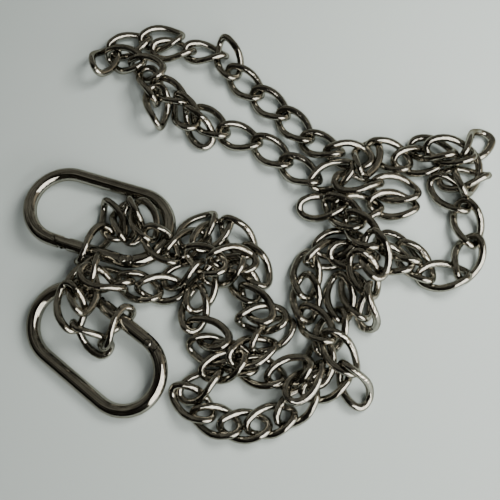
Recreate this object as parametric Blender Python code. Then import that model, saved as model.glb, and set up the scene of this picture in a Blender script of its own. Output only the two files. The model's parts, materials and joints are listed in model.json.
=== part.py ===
"""A heap of plated iron chain with an oval spring-gate snap ring on each end.

The chain is laid along a hand-chosen route. Each link is first threaded through the one before it
as a thin wire, then the wires are thickened and let down onto the floor while they are kept apart.
Metres, +Z up, floor at Z = 0, +X to the right and +Y away from the viewer.
"""
import math

import bmesh
import bpy
import numpy as np
from mathutils import Matrix, Vector

# One link: a curb link, an oval of round wire with its ends turned against each other
WIRE_RADIUS = 0.0010
LINK_LENGTH = 0.0162
LINK_WIDTH = 0.0098
LINK_TURN = math.radians(-42)
LINK_CORNERS = 12
WIRE_SIDES = 6
WIRE_CORNER_RADIUS = 0.00106
HALF_LENGTH = LINK_LENGTH / 2 - WIRE_RADIUS
HALF_WIDTH = LINK_WIDTH / 2 - WIRE_RADIUS
END_ROUNDING = 0.92
SIDE_ROUNDING = 0.88

# One snap ring: a stadium of thick wire with a hinged gate in one long side
RING_LENGTH = 0.0500
RING_WIDTH = 0.0271
RING_RADIUS = 0.0021
RING_SIDES = 12
RING_ARC_STEPS = 12
HALF_STRAIGHT = (RING_LENGTH - RING_WIDTH) / 2
BEND_RADIUS = RING_WIDTH / 2 - RING_RADIUS
RING_FLAT_DEPTH = RING_RADIUS * math.cos(math.pi / RING_SIDES)

# The gate, its rivet at the hinge and its hooked nose, whose joint is cut on a slant
FIT_GAP = 0.0003
RIVET_ANGLE = math.radians(6.8)
RIVET_X = HALF_STRAIGHT + BEND_RADIUS * math.sin(RIVET_ANGLE)
RIVET_Y = BEND_RADIUS * math.cos(RIVET_ANGLE)
TAIL_RADIUS = 0.0029
TAIL_ARC_STEPS = 2
GATE_SWING = math.radians(18)
TONGUE_THICKNESS = 0.0015
TONGUE_WIDTH = 0.0030
SLOT_THICKNESS = TONGUE_THICKNESS + 2 * FIT_GAP
TONGUE_SLOPE = math.radians(15)
TONGUE_ROOT = 0.0010
HINGE_SLOT_END = RIVET_X - TONGUE_WIDTH / 2 - 2 * FIT_GAP
NOSE_SLANT = math.radians(35)
NOSE_SHIFT = 0.00155
NOSE_OVERRUN = 0.0040
NOSE_ROOT = 0.0004
NOSE_REACH = 0.0054
NOSE_BAR_HEIGHT = 0.0025
NOSE_BAR_LENGTH = 0.0008
NOSE_BAR_WIDTH = 0.0018
NOSE_PLAY = 0.0006
RIVET_RADIUS = 0.0006
RIVET_HEAD_RADIUS = 0.00105
RIVET_HEAD_HEIGHT = 0.0004
RIVET_RIM_SHARE = 0.3
RIVET_CROWN_WIDTH = 0.6
RIVET_CROWN_DEPTH = 0.2
RECESS_DEPTH = 0.0016
RIVET_SIDES = 10
TAIL_SIDES = 24
TONGUE_SIDES = 16
ROUND_SHADING_ANGLE = math.radians(62)

# Where the two rings lie: centre, heading, rise of the hinge end, lean about the long axis and
# which side is up. The lean leaves room for the link under the gate, which props the ring
RINGS = {
    "upper": {"centre": (-0.0475, 0.0110), "heading": math.radians(-17.7),
              "pitch": math.radians(-3.0), "lean": math.radians(-6.0), "turned": True},
    "lower": {"centre": (-0.0463, -0.0302), "heading": math.radians(-37.8),
              "pitch": 0.0, "lean": math.radians(8.0), "turned": False},
}

# Start of the laying: height of the route, and how far from it a place for each link is looked for
START_HEIGHT = 0.0030
LEVEL_STEP = 0.0070
START_BEND = 0.6
SEED = 10
TRIES = 400
SPREADS = (1.0, 1.7, 2.6)
SHIFT_SPREAD = (0.0020, 0.0020, 0.0015)
TURN_SPREAD = (math.radians(25), math.radians(15), math.radians(20))
SHIFT_WEIGHT = 1 / 0.0020 ** 2
TURN_WEIGHT = 1 / 0.15
CROWDING_WEIGHT = 3000
LEAST_LINK_SPACE = 0.00035
EASY_LINK_SPACE = 0.0012
LEAST_RING_SPACE = 0.0008
EASY_RING_SPACE = 0.0024
LINK_SIGHT = 0.016
SIGHT_PER_SPREAD = 0.008
RING_SIGHT = 0.045
RING_STEP = 0.0015
CARRIED_SHIFT = 0.35

# How the links are kept apart, and how close the two links of one node come where they are joined
LINK_GAP = 0.0003
FLOOR_GAP = 0.00010
WELD_DISTANCE = 0.00175
WELD_REACH = 0.0035
WELD_SIGHT = 0.0015
TURNING_RADIUS = 0.0050
LARGEST_PULL = 0.00025
LARGEST_STEER = 0.03
ROLLED_HOLD = 2.5
HIT_EASE = 0.5
TURN_ARM = 0.006
GATE_STOPS = (0.33, 0.67, 1.0)

# The stages of the laying: steps, sweeps a step, sink and pull towards the route a step, share of
# the error in heading and in roll taken back a step, gap, whether the links of one node are drawn
# together, largest move a sweep, and the share of the wire's thickness the stage starts with
STAGES = (
    (250, 3, 0.0, 0.03, 0.0, 0.0, 0.0001, False, 0.0003, 0.1),
    (300, 3, 0.00006, 0.06, 0.015, 0.010, 0.00015, False, 0.0003, 1.0),
    (150, 3, 0.00001, 0.01, 0.0, 0.0, LINK_GAP, True, 0.0002, 1.0),
    (500, 2, 0.0, 0.0, 0.0, 0.0, LINK_GAP, True, 0.0001, 1.0),
)

# The route, link by link, from the upper ring's gate to the lower ring's: X, Y, level in the heap,
# heading in degrees (None follows the chain) and roll in degrees (0 lies flat, 90 stands on edge)
ROUTE = [
    (-0.0500, 0.0000, 0.6, 36, 90), (-0.0435, 0.0095, 1.0, 107, 0), (-0.0400, 0.0080, 0.5, 103, 0),
    (-0.0355, 0.0115, 0.8, 80, 0), (-0.0315, 0.0065, 0.4, -70, 0), (-0.0265, 0.0005, 0.0, -30, 0),
    (-0.0210, 0.0013, 0.0, None, 0), (-0.0175, 0.0040, 0.4, 24, 0), (-0.0107, 0.0046, 0.1, 71, 0),
    (-0.0045, 0.0028, 0.1, -42, 0), (0.0002, -0.0053, 0.1, -85, 0), (-0.0044, -0.0114, 0.4, -60, 0),
    (-0.0028, -0.0197, 0.5, -36, 0), (-0.0013, -0.0240, 1.0, -26, 0), (0.0076, -0.0267, 1.0, 24, 0),
    (0.0017, -0.0317, 1.4, -20, 0), (-0.0060, -0.0340, 1.4, None, 0), (-0.0086, -0.0418, 0.6, 39, 0),
    (-0.0150, -0.0469, 0.0, -24, 0), (-0.0079, -0.0511, 0.0, -19, 0), (-0.0024, -0.0514, 0.2, None, 0),
    (0.0037, -0.0517, 0.0, 0, 0), (0.0126, -0.0478, 0.0, 34, 0), (0.0219, -0.0413, 0.1, 0, 0),
    (0.0291, -0.0422, 0.0, -77, 0), (0.0280, -0.0314, 0.6, -62, 0), (0.0186, -0.0230, 1.2, -56, 0),
    (0.0176, -0.0160, 0.6, None, 0), (0.0190, -0.0100, 0.1, -86, 0), (0.0245, -0.0025, 0.0, 29, 0),
    (0.0270, 0.0010, 0.6, 24, 0), (0.0335, -0.0036, 1.1, None, 0), (0.0417, -0.0053, 0.8, -54, 0),
    (0.0449, -0.0017, 0.8, -59, 0), (0.0498, -0.0040, 0.4, -64, 0), (0.0567, -0.0096, 0.0, 9, 0),
    (0.0644, -0.0059, 0.0, 76, 0), (0.0649, 0.0071, 0.0, -81, 0), (0.0599, 0.0152, 0.2, -61, 0),
    (0.0644, 0.0225, 0.6, -13, 0), (0.0655, 0.0235, 1.0, None, 0), (0.0650, 0.0285, 1.5, 30, 0),
    (0.0600, 0.0270, 1.1, None, 0), (0.0560, 0.0275, 0.8, -2, 0), (0.0525, 0.0235, 0.2, -11, 0),
    (0.0442, 0.0297, 0.1, -13, 0), (0.0373, 0.0266, 0.3, 45, 0), (0.0323, 0.0261, 0.3, None, 0),
    (0.0255, 0.0288, 0.0, -46, 0), (0.0169, 0.0381, 0.0, -48, 0), (0.0084, 0.0476, 0.0, -49, 0),
    (-0.0010, 0.0560, 0.0, -49, 0), (-0.0066, 0.0655, 0.5, 66, -62), (-0.0160, 0.0655, 0.1, -35, 0),
    (-0.0271, 0.0703, 0.2, -14, 0), (-0.0335, 0.0745, 0.0, 31, 0), (-0.0418, 0.0731, 0.1, 19, 0),
    (-0.0469, 0.0647, 0.2, 90, 0), (-0.0414, 0.0647, 0.8, -47, 0), (-0.0330, 0.0655, 1.3, -62, 0),
    (-0.0334, 0.0564, 0.6, -43, 0), (-0.0312, 0.0455, 0.1, 87, 60), (-0.0249, 0.0545, 0.8, -52, 0),
    (-0.0195, 0.0450, 1.0, None, 0), (-0.0175, 0.0400, 0.6, -60, 55), (-0.0135, 0.0435, 0.2, -38, 0),
    (-0.0050, 0.0384, 0.0, -15, 0), (0.0060, 0.0327, 0.0, -42, 0), (0.0154, 0.0251, 0.0, -39, 0),
    (0.0260, 0.0221, 0.1, 19, 0), (0.0345, 0.0191, 0.5, -2, 0), (0.0466, 0.0180, 0.3, -29, 0),
    (0.0439, 0.0119, 0.7, -2, 0), (0.0335, 0.0125, 0.6, None, 0), (0.0235, 0.0110, 0.1, -7, 0),
    (0.0311, 0.0085, 0.6, -49, 0), (0.0324, 0.0030, 1.8, None, 0), (0.0373, -0.0010, 2.0, -83, 0),
    (0.0340, -0.0090, 2.0, None, 0), (0.0360, -0.0165, 1.4, -93, 70), (0.0310, -0.0150, 0.7, -80, 50),
    (0.0256, -0.0180, 0.3, -92, 0), (0.0233, -0.0260, 0.0, None, 0), (0.0207, -0.0342, 0.0, -56, 0),
    (0.0170, -0.0422, 1.0, 69, 0), (0.0119, -0.0376, 0.6, 9, 0), (0.0037, -0.0375, 0.0, -25, 0),
    (-0.0050, -0.0330, 0.0, None, 0), (-0.0090, -0.0295, 0.6, -10, 0), (-0.0119, -0.0235, 0.8, -40, 0),
    (-0.0159, -0.0200, 0.3, None, 0), (-0.0120, -0.0140, 0.2, -60, 0), (-0.0075, -0.0075, 0.9, -6, 0),
    (-0.0035, -0.0004, 1.2, -17, 0), (-0.0116, -0.0040, 0.9, -41, 0), (-0.0193, -0.0070, 0.3, 35, 0),
    (-0.0266, -0.0125, 0.0, -4, 0), (-0.0339, -0.0121, 0.2, None, 0), (-0.0393, -0.0116, 0.0, -3, 0),
    (-0.0428, -0.0105, 0.6, 14, 0), (-0.0500, -0.0079, 0.5, -86, 0), (-0.0490, -0.0130, 0.2, None, 0),
    (-0.0530, -0.0150, 0.3, -96, 0), (-0.0490, -0.0240, 0.5, -57, 0), (-0.0430, -0.0215, 0.6, 35, 90),
]

# Colours and roughness of the plating
CHAIN_ROUGHNESS = 0.25
RING_ROUGHNESS = 0.2
CHAIN_COLOUR = (0.56, 0.53, 0.47, 1.0)
RING_COLOUR = (0.52, 0.49, 0.44, 1.0)
GATE_COLOUR = (0.54, 0.51, 0.46, 1.0)
RIVET_COLOUR = (0.60, 0.57, 0.52, 1.0)


def oval(count):
    """Centreline of one link with its long axis on X, turned along that axis."""
    points = []
    for step in range(count):
        angle = 2 * math.pi * step / count
        along = math.copysign(abs(math.cos(angle)) ** END_ROUNDING, math.cos(angle))
        across = math.copysign(abs(math.sin(angle)) ** SIDE_ROUNDING, math.sin(angle))
        turn = LINK_TURN * along
        points.append((HALF_LENGTH * along,
                       HALF_WIDTH * across * math.cos(turn),
                       HALF_WIDTH * across * math.sin(turn)))
    return np.array(points)


def ring_body_path():
    """Centreline of a ring's open body in its own frame, from the hinge round to the nose."""
    points = []
    for end, start in ((HALF_STRAIGHT, math.pi / 2), (-HALF_STRAIGHT, -math.pi / 2)):
        for step in range(RING_ARC_STEPS + 1):
            angle = start - math.pi * step / RING_ARC_STEPS
            points.append((end + BEND_RADIUS * math.cos(angle), BEND_RADIUS * math.sin(angle), 0.0))
    return np.array(points)


def swung(angle):
    """The gate's centreline in the ring's frame, swung inwards by an angle."""
    rivet = np.array([RIVET_X, RIVET_Y, 0.0])
    # Set in a little, because no side of the ring's loop may be of no length
    reach = HALF_STRAIGHT - FIT_GAP
    corners = np.array([[-reach, BEND_RADIUS, 0.0], [reach, BEND_RADIUS, 0.0]]) - rivet
    c, s = math.cos(angle), math.sin(angle)
    return corners @ np.array([[c, s, 0], [-s, c, 0], [0, 0, 1]]) + rivet


def ring_place(ring):
    """Rotation matrix and centre of a ring, its lowest wire resting on the floor."""
    upside = Matrix.Rotation(math.pi, 3, "X") if ring["turned"] else Matrix.Identity(3)
    rotation = (Matrix.Rotation(ring["heading"], 3, "Z") @ Matrix.Rotation(-ring["pitch"], 3, "Y")
                @ Matrix.Rotation(ring["lean"], 3, "X") @ upside)
    turn = np.array(rotation)
    lowest = (ring_body_path() @ turn.T)[:, 2].min()
    # A level ring rests on a flat of its section, a pitched one on a corner
    depth = RING_RADIUS if ring["pitch"] else RING_FLAT_DEPTH
    centre = np.array([ring["centre"][0], ring["centre"][1], depth - lowest])
    return turn, centre


def turned_by(quaternions, vectors):
    """Vectors turned by quaternions given as w, x, y, z."""
    real, axis = quaternions[..., :1], quaternions[..., 1:]
    twice = 2 * np.cross(axis, vectors)
    return vectors + real * twice + np.cross(axis, twice)


def combined(first, second):
    """Product of quaternions, the second one acting first."""
    w1, x1, y1, z1 = np.moveaxis(first, -1, 0)
    w2, x2, y2, z2 = np.moveaxis(second, -1, 0)
    return np.stack([w1 * w2 - x1 * x2 - y1 * y2 - z1 * z2,
                     w1 * x2 + x1 * w2 + y1 * z2 - z1 * y2,
                     w1 * y2 - x1 * z2 + y1 * w2 + z1 * x2,
                     w1 * z2 + x1 * y2 - y1 * x2 + z1 * w2], -1)


def turn_of(vectors):
    """Quaternions of turns given as axis times angle."""
    angle = np.linalg.norm(vectors, axis=-1, keepdims=True)
    scale = np.where(angle > 1e-9, np.sin(angle / 2) / np.maximum(angle, 1e-9), 0.5)
    return np.concatenate([np.cos(angle / 2), vectors * scale], -1)


def turn_about(axis, angles):
    """Quaternions of turns by angles about X, Y or Z (0, 1 or 2)."""
    vectors = np.zeros((len(angles), 3))
    vectors[:, axis] = angles
    return turn_of(vectors)


def nearest_points(start_1, side_1, start_2, side_2):
    """Nearest points of pairs of straight stretches."""
    offset = start_1 - start_2
    a = (side_1 * side_1).sum(-1)
    b = (side_1 * side_2).sum(-1)
    c = (side_1 * offset).sum(-1)
    e = (side_2 * side_2).sum(-1)
    f = (side_2 * offset).sum(-1)
    spread = a * e - b * b
    aligned = spread < 1e-9 * a * e
    s = np.clip(np.where(aligned, 0.5, (b * f - c * e) / np.where(aligned, 1.0, spread)), 0, 1)
    t = (b * s + f) / e
    inside = np.clip(t, 0, 1)
    s = np.where(t != inside, np.clip((b * inside - c) / a, 0, 1), s)
    return start_1 + side_1 * s[:, None], start_2 + side_2 * inside[:, None]


def linking_numbers(loops, other):
    """How often each closed loop passes through another one, from the solid angles of their sides."""
    next_loops, next_other = np.roll(loops, -1, 1), np.roll(other, -1, 0)
    a = loops[:, :, None] - other[None, None]
    b = next_loops[:, :, None] - other[None, None]
    c = next_loops[:, :, None] - next_other[None, None]
    d = loops[:, :, None] - next_other[None, None]
    la, lb, lc, ld = (np.linalg.norm(v, axis=-1) for v in (a, b, c, d))
    ac = (a * c).sum(-1)
    first = np.arctan2((a * np.cross(b, c)).sum(-1),
                       la * lb * lc + (a * b).sum(-1) * lc + (b * c).sum(-1) * la + ac * lb)
    second = np.arctan2((a * np.cross(c, d)).sum(-1),
                        la * lc * ld + ac * ld + (c * d).sum(-1) * la + (d * a).sum(-1) * lc)
    return np.abs(np.rint((first + second).sum((1, 2)) / (2 * math.pi)))


def clear_distance(loops, other):
    """Least distance of each loop's corners and side middles from those of another loop."""
    mine = np.concatenate([loops, (loops + np.roll(loops, -1, 1)) / 2], 1)
    theirs = np.concatenate([other, (other + np.roll(other, -1, 0)) / 2])
    return np.linalg.norm(mine[:, :, None] - theirs[None, None], axis=-1).min((1, 2))


def with_short_sides(loop, longest):
    """A closed loop with its long sides divided."""
    points = []
    for start, end in zip(loop, np.roll(loop, -1, 0)):
        parts = max(1, math.ceil(np.linalg.norm(end - start) / longest))
        points += [start + (end - start) * part / parts for part in range(parts)]
    return np.array(points)


def ring_loops(ring):
    """The closed loops of a ring in the heap, with its gate shut and with its gate open."""
    turn, centre = ring_place(ring)
    loops = []
    for angle in (0.0, GATE_SWING):
        loop = np.concatenate([ring_body_path(), swung(angle)])
        loops.append(loop @ turn.T + centre)
    return loops


def first_places():
    """Start positions and turns of the links on the raised route, with what each is drawn towards."""
    table = np.array([row[:3] for row in ROUTE])
    places = np.column_stack([table[:, :2], START_HEIGHT + LEVEL_STEP * table[:, 2]])
    ahead = np.vstack([places[1:], places[-1:]]) - np.vstack([places[:1], places[:-1]])
    flow = np.arctan2(ahead[:, 1], ahead[:, 0])
    slope = np.arctan2(ahead[:, 2], np.hypot(ahead[:, 0], ahead[:, 1]))
    given = np.array([flow[k] if row[3] is None else math.radians(row[3])
                      for k, row in enumerate(ROUTE)])
    # A link turned end for end is the same, so the heading nearest the chain's own is taken
    bend = (given - flow + math.pi / 2) % math.pi - math.pi / 2
    roll = np.radians([float(row[4]) for row in ROUTE])
    # Seen from its other end, a link rolls the other way
    roll = np.where(np.cos(flow + bend - given) < 0, -roll, roll)
    start_bend = np.where(roll == 0, np.clip(bend, -START_BEND, START_BEND), bend)
    turns = combined(turn_about(2, flow + start_bend), turn_about(1, -slope))
    turns = combined(turns, turn_about(0, roll))
    return places, turns, flow + bend, roll


def threaded(places, turns, rings):
    """Places every link near the route so that it passes through its neighbour and no other."""
    draw = np.random.RandomState(SEED)
    outline = oval(LINK_CORNERS)
    places, turns = places.copy(), turns.copy()
    set_links = []
    for index in range(len(places)):
        chosen = None
        for spread in SPREADS:
            shifts = draw.normal(size=(TRIES, 3)) * SHIFT_SPREAD * spread
            bends = draw.normal(size=(TRIES, 3)) * TURN_SPREAD * spread
            shifts[0] = 0
            bends[0] = 0
            spots = places[index] + shifts
            stances = combined(turns[index][None], turn_of(bends))
            loops = turned_by(stances[:, None], outline[None]) + spots[:, None]
            cost = (shifts ** 2).sum(1) * SHIFT_WEIGHT + (bends ** 2).sum(1) * TURN_WEIGHT
            good = loops[:, :, 2].min(1) > WIRE_RADIUS
            sight = LINK_SIGHT + SIGHT_PER_SPREAD * spread
            others = [(loop, k == index - 1, LEAST_LINK_SPACE, EASY_LINK_SPACE)
                      for k, loop in enumerate(set_links)
                      if np.linalg.norm(loop.mean(0) - places[index]) < sight]
            for owner, ring in ((0, rings[0]), (len(places) - 1, rings[1])):
                others += [(loop, index == owner, LEAST_RING_SPACE, EASY_RING_SPACE)
                           for loop in ring
                           if np.linalg.norm(loop.mean(0) - places[index]) < RING_SIGHT]
            for loop, hooked, least, easy in others:
                left = np.nonzero(good)[0]
                if len(left) == 0:
                    break
                space = clear_distance(loops[left], loop)
                cost[left] += np.clip(easy - space, 0, None) * CROWDING_WEIGHT
                good[left] = (linking_numbers(loops[left], loop) == int(hooked)) & (space > least)
            if good.any():
                chosen = np.nonzero(good)[0][np.argmin(cost[good])]
                break
        if chosen is None:
            raise RuntimeError(f"link {index + 1} finds no place on the route")
        places[index], turns[index] = spots[chosen], stances[chosen]
        set_links.append(loops[chosen])
        if index + 1 < len(places):
            places[index + 1] += CARRIED_SHIFT * shifts[chosen]
    return places, turns


class Heap:
    """The links as stiff loops of wire that are pushed apart where they come too close."""

    def __init__(self, places, turns, headings, rolls, fixed):
        self.places, self.turns = places, turns
        self.goals = np.array([row[:2] for row in ROUTE])
        self.headings = headings
        self.rolls = rolls
        # A link with a roll of its own is steered harder, because it stands against its neighbours
        self.hold = np.where(rolls == 0, 1.0, ROLLED_HOLD)
        self.fixed = fixed
        self.outline = oval(LINK_CORNERS)
        self.first, self.second = np.triu_indices(len(places), 1)
        self.welded = (self.second == self.first + 1) & (self.first % 2 == 0)

    def loops(self):
        """The centrelines of all links."""
        return turned_by(self.turns[:, None], self.outline[None]) + self.places[:, None]

    def draw(self, sink, pull, steer, flatten):
        """Lets the links sink and draws them towards their places, headings and rolls."""
        count = len(self.places)
        moves = np.zeros((count, 3))
        bends = np.zeros((count, 3))
        moves[:, 2] = -sink
        away = self.goals - self.places[:, :2]
        far = np.linalg.norm(away, axis=1, keepdims=True)
        moves[:, :2] += away * np.minimum(1, LARGEST_PULL / np.maximum(far, 1e-9)) * pull
        long_axis = turned_by(self.turns, np.array([1.0, 0, 0]))
        up_axis = turned_by(self.turns, np.array([0, 0, 1.0]))
        heading = np.arctan2(long_axis[:, 1], long_axis[:, 0])
        error = (self.headings - heading + math.pi / 2) % math.pi - math.pi / 2
        bends[:, 2] += np.clip(error * steer * self.hold, -LARGEST_STEER, LARGEST_STEER)
        sideways = np.column_stack([np.sin(self.headings), -np.cos(self.headings), np.zeros(count)])
        upright = np.array([0, 0, 1.0]) * np.cos(self.rolls)[:, None]
        wanted = sideways * np.sin(self.rolls)[:, None] + upright
        sense = np.where((up_axis * wanted).sum(1) < 0, -1.0, 1.0)
        bends += np.cross(up_axis, wanted * sense[:, None]) * flatten * self.hold[:, None]
        self.places = self.places + moves
        self.turns = combined(turn_of(bends), self.turns)

    def part(self, radius, gap, weld, most):
        """Pushes apart what lies too close, once; a welded pair is also drawn together."""
        count = len(self.places)
        loops = self.loops()
        sides = np.roll(loops, -1, 1) - loops
        middles = loops + sides / 2
        halves = np.linalg.norm(sides, axis=2) / 2
        reach = 2 * (HALF_LENGTH + radius + gap) + WELD_SIGHT
        close = np.linalg.norm(self.places[self.first] - self.places[self.second], axis=1) < reach
        one, two, pair = self.first[close], self.second[close], self.welded[close]
        apart = np.linalg.norm(middles[one][:, :, None] - middles[two][:, None], axis=3)
        limit = 2 * radius + gap
        slack = WELD_SIGHT if weld else 0.0
        k, a, b = np.nonzero(apart < limit + slack + halves[one][:, :, None] + halves[two][:, None])
        left, right = one[k], two[k]
        near_1, near_2 = nearest_points(loops[left, a], sides[left, a], loops[right, b], sides[right, b])
        distance = np.linalg.norm(near_1 - near_2, axis=1)
        joined = pair[k] & weld
        depth = limit - distance
        held = np.nonzero(joined)[0]
        if len(held):
            order = held[np.lexsort((distance[held], left[held]))]
            nearest = order[np.r_[True, np.diff(left[order]) != 0]]
            meeting = np.zeros((count, 3))
            meeting[left[nearest]] = near_1[nearest]
            beside = joined & (np.linalg.norm(near_1 - meeting[left], axis=1) < WELD_REACH)
            depth[beside] = WELD_DISTANCE - distance[beside]
        used = depth > 0
        if len(held):
            used[nearest] = True
        left, right, near_1, near_2 = left[used], right[used], near_1[used], near_2[used]
        normal = (near_1 - near_2) / np.maximum(distance[used], 1e-9)[:, None]
        arm_1 = np.cross(near_1 - self.places[left], normal)
        arm_2 = np.cross(near_2 - self.places[right], normal)
        ease = 2 + ((arm_1 ** 2).sum(1) + (arm_2 ** 2).sum(1)) / TURNING_RADIUS ** 2
        share = (depth[used] / ease)[:, None]
        shifts, bends, hits = np.zeros((count, 3)), np.zeros((count, 3)), np.zeros(count)
        np.add.at(shifts, left, normal * share)
        np.add.at(shifts, right, -normal * share)
        np.add.at(bends, left, arm_1 * share / TURNING_RADIUS ** 2)
        np.add.at(bends, right, -arm_2 * share / TURNING_RADIUS ** 2)
        np.add.at(hits, left, 1)
        np.add.at(hits, right, 1)
        self.part_from_fixed(loops, sides, middles, halves, radius, gap, shifts, bends, hits)
        eased = 1 / np.maximum(1, hits * HIT_EASE)[:, None]
        shifts, bends = shifts * eased, bends * eased
        far = np.maximum(np.linalg.norm(shifts, axis=1, keepdims=True), 1e-12)
        shifts *= np.minimum(1, most / far)
        turned = np.maximum(np.linalg.norm(bends, axis=1, keepdims=True), 1e-12)
        bends *= np.minimum(1, most / TURN_ARM / turned)
        self.places = self.places + shifts
        self.turns = combined(turn_of(bends), self.turns)
        self.turns = self.turns / np.linalg.norm(self.turns, axis=1, keepdims=True)

    def part_from_fixed(self, loops, sides, middles, halves, radius, gap, shifts, bends, hits):
        """Pushes the links off the rings, the gates at every opening and the floor."""
        found = []
        for path, thick in self.fixed:
            path_sides = np.roll(path, -1, 0) - path
            path_middles = path + path_sides / 2
            path_halves = np.linalg.norm(path_sides, axis=1) / 2
            limit = radius + thick * radius / WIRE_RADIUS + gap
            apart = np.linalg.norm(middles[:, :, None] - path_middles[None, None], axis=3)
            body, a, b = np.nonzero(apart < limit + halves[:, :, None] + path_halves[None, None])
            if len(body) == 0:
                continue
            near_1, near_2 = nearest_points(loops[body, a], sides[body, a], path[b], path_sides[b])
            offset = near_1 - near_2
            length = np.linalg.norm(offset, axis=1)
            used = length < limit
            normal = offset[used] / np.maximum(length[used], 1e-9)[:, None]
            found.append((body[used], near_1[used], normal, limit - length[used]))
        depth = radius + FLOOR_GAP - loops[:, :, 2]
        body, a = np.nonzero(depth > 0)
        found.append((body, loops[body, a], np.tile([0, 0, 1.0], (len(body), 1)), depth[body, a]))
        for body, point, normal, push in found:
            arm = np.cross(point - self.places[body], normal)
            share = (push / (1 + (arm ** 2).sum(1) / TURNING_RADIUS ** 2))[:, None]
            np.add.at(shifts, body, normal * share)
            np.add.at(bends, body, arm * share / TURNING_RADIUS ** 2)
            np.add.at(hits, body, 1)


def laid():
    """The links' places and turns in the heap."""
    rings = [ring_loops(ring) for ring in RINGS.values()]
    places, turns, headings, rolls = first_places()
    divided = [[with_short_sides(loop, RING_STEP) for loop in ring] for ring in rings]
    places, turns = threaded(places, turns, divided)
    fixed = []
    for ring, loops in zip(RINGS.values(), rings):
        turn, centre = ring_place(ring)
        fixed.append((loops[0], RING_RADIUS))
        for share in GATE_STOPS:
            fixed.append((swung(GATE_SWING * share) @ turn.T + centre, RING_RADIUS))
    heap = Heap(places, turns, headings, rolls, fixed)
    for steps, sweeps, sink, pull, steer, flatten, gap, weld, most, thin in STAGES:
        for step in range(steps):
            radius = WIRE_RADIUS * (thin + (1 - thin) * step / (steps - 1))
            heap.draw(sink, pull, steer, flatten)
            for _ in range(sweeps):
                heap.part(radius, gap, weld, most)
        # Rounded now and then, so that the heap comes out the same on every machine
        heap.places = np.round(heap.places, 7)
        heap.turns = np.round(heap.turns, 5)
        heap.turns /= np.linalg.norm(heap.turns, axis=1, keepdims=True)
    return heap


def material(name, colour, roughness):
    """A plated metal finish."""
    finish = bpy.data.materials.new(name)
    finish.use_nodes = True
    shader = finish.node_tree.nodes["Principled BSDF"]
    shader.inputs["Base Color"].default_value = colour
    shader.inputs["Metallic"].default_value = 1.0
    shader.inputs["Roughness"].default_value = roughness
    return finish


def new_object(name, shape, finish=None):
    """An object from a bmesh, linked to the scene."""
    bmesh.ops.recalc_face_normals(shape, faces=shape.faces)
    mesh = bpy.data.meshes.new(name)
    shape.to_mesh(mesh)
    shape.free()
    thing = bpy.data.objects.new(name, mesh)
    bpy.context.scene.collection.objects.link(thing)
    if finish:
        mesh.materials.append(finish)
    return thing


def combine(thing, tool, operation):
    """Joins a tool to an object, cuts it out or keeps what both share, and removes the tool."""
    step = thing.modifiers.new("Combine", "BOOLEAN")
    step.operation = operation
    step.object = tool
    evaluated = thing.evaluated_get(bpy.context.evaluated_depsgraph_get())
    mesh = bpy.data.meshes.new_from_object(evaluated)
    thing.modifiers.remove(step)
    thing.data = mesh
    bpy.data.objects.remove(tool)


def smooth(thing):
    """Shades the round faces smooth and keeps the hard edges."""
    thing.data.shade_smooth()
    thing.data.set_sharp_from_angle(angle=ROUND_SHADING_ANGLE)


def swept(path, closed, radius, sides, outward, start_angle=0.0):
    """A round wire along a path; outward gives the first axis of its section at each point."""
    shape = bmesh.new()
    count = len(path)
    rows = []
    for k in range(count):
        point = Vector(path[k])
        before = Vector(path[k - 1]) if closed or k else point
        after = Vector(path[(k + 1) % count]) if closed or k + 1 < count else point
        tangent = (after - before).normalized()
        first = Vector(outward(point))
        first = (first - tangent * first.dot(tangent)).normalized()
        second = tangent.cross(first)
        row = []
        for side in range(sides):
            angle = start_angle + 2 * math.pi * side / sides
            offset = first * math.cos(angle) + second * math.sin(angle)
            row.append(shape.verts.new(point + radius * offset))
        rows.append(row)
    for k in range(count if closed else count - 1):
        row, next_row = rows[k], rows[(k + 1) % count]
        for side in range(sides):
            ahead = (side + 1) % sides
            shape.faces.new((row[side], row[ahead], next_row[ahead], next_row[side]))
    if not closed:
        shape.faces.new(rows[0])
        shape.faces.new(rows[-1])
    return shape


def box(low, high):
    """A box between two corners."""
    shape = bmesh.new()
    size = Vector(high) - Vector(low)
    middle = (Vector(high) + Vector(low)) / 2
    place = Matrix.Translation(middle) @ Matrix.Diagonal(size).to_4x4()
    bmesh.ops.create_cube(shape, size=1.0, matrix=place)
    return new_object("box", shape)


def disc(x, y, radius, low, high, sides):
    """An upright round bar between two heights."""
    shape = bmesh.new()
    place = Matrix.Translation((x, y, (low + high) / 2))
    bmesh.ops.create_cone(shape, cap_ends=True, segments=sides, radius1=radius, radius2=radius,
                          depth=high - low, matrix=place)
    return new_object("disc", shape)


def keep_outer_skin(thing):
    """Fills any pocket that two touching wires close off, by keeping only the largest skin."""
    shape = bmesh.new()
    shape.from_mesh(thing.data)
    left = set(shape.faces)
    skins = []
    while left:
        edge = [left.pop()]
        skin = set(edge)
        while edge:
            sides = {side for face in edge for side in face.edges if len(side.link_faces) == 2}
            near = {other for side in sides for other in side.link_faces} - skin
            skin |= near
            edge = list(near)
        left -= skin
        skins.append(skin)
    largest = max(skins, key=len)
    bmesh.ops.delete(shape, geom=[face for face in shape.faces if face not in largest], context="FACES")
    shape.to_mesh(thing.data)
    shape.free()


def link_mesh():
    """One link in its own frame."""
    return swept(oval(LINK_CORNERS), True, WIRE_CORNER_RADIUS, WIRE_SIDES, lambda point: point)


def quaternion_matrix(place, turn):
    """World matrix of a link."""
    from_turn = Matrix.Identity(3)
    for column, axis in enumerate(np.eye(3)):
        turned = turned_by(turn, axis)
        for row in range(3):
            from_turn[row][column] = turned[row]
    return Matrix.Translation(place) @ from_turn.to_4x4()


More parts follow.
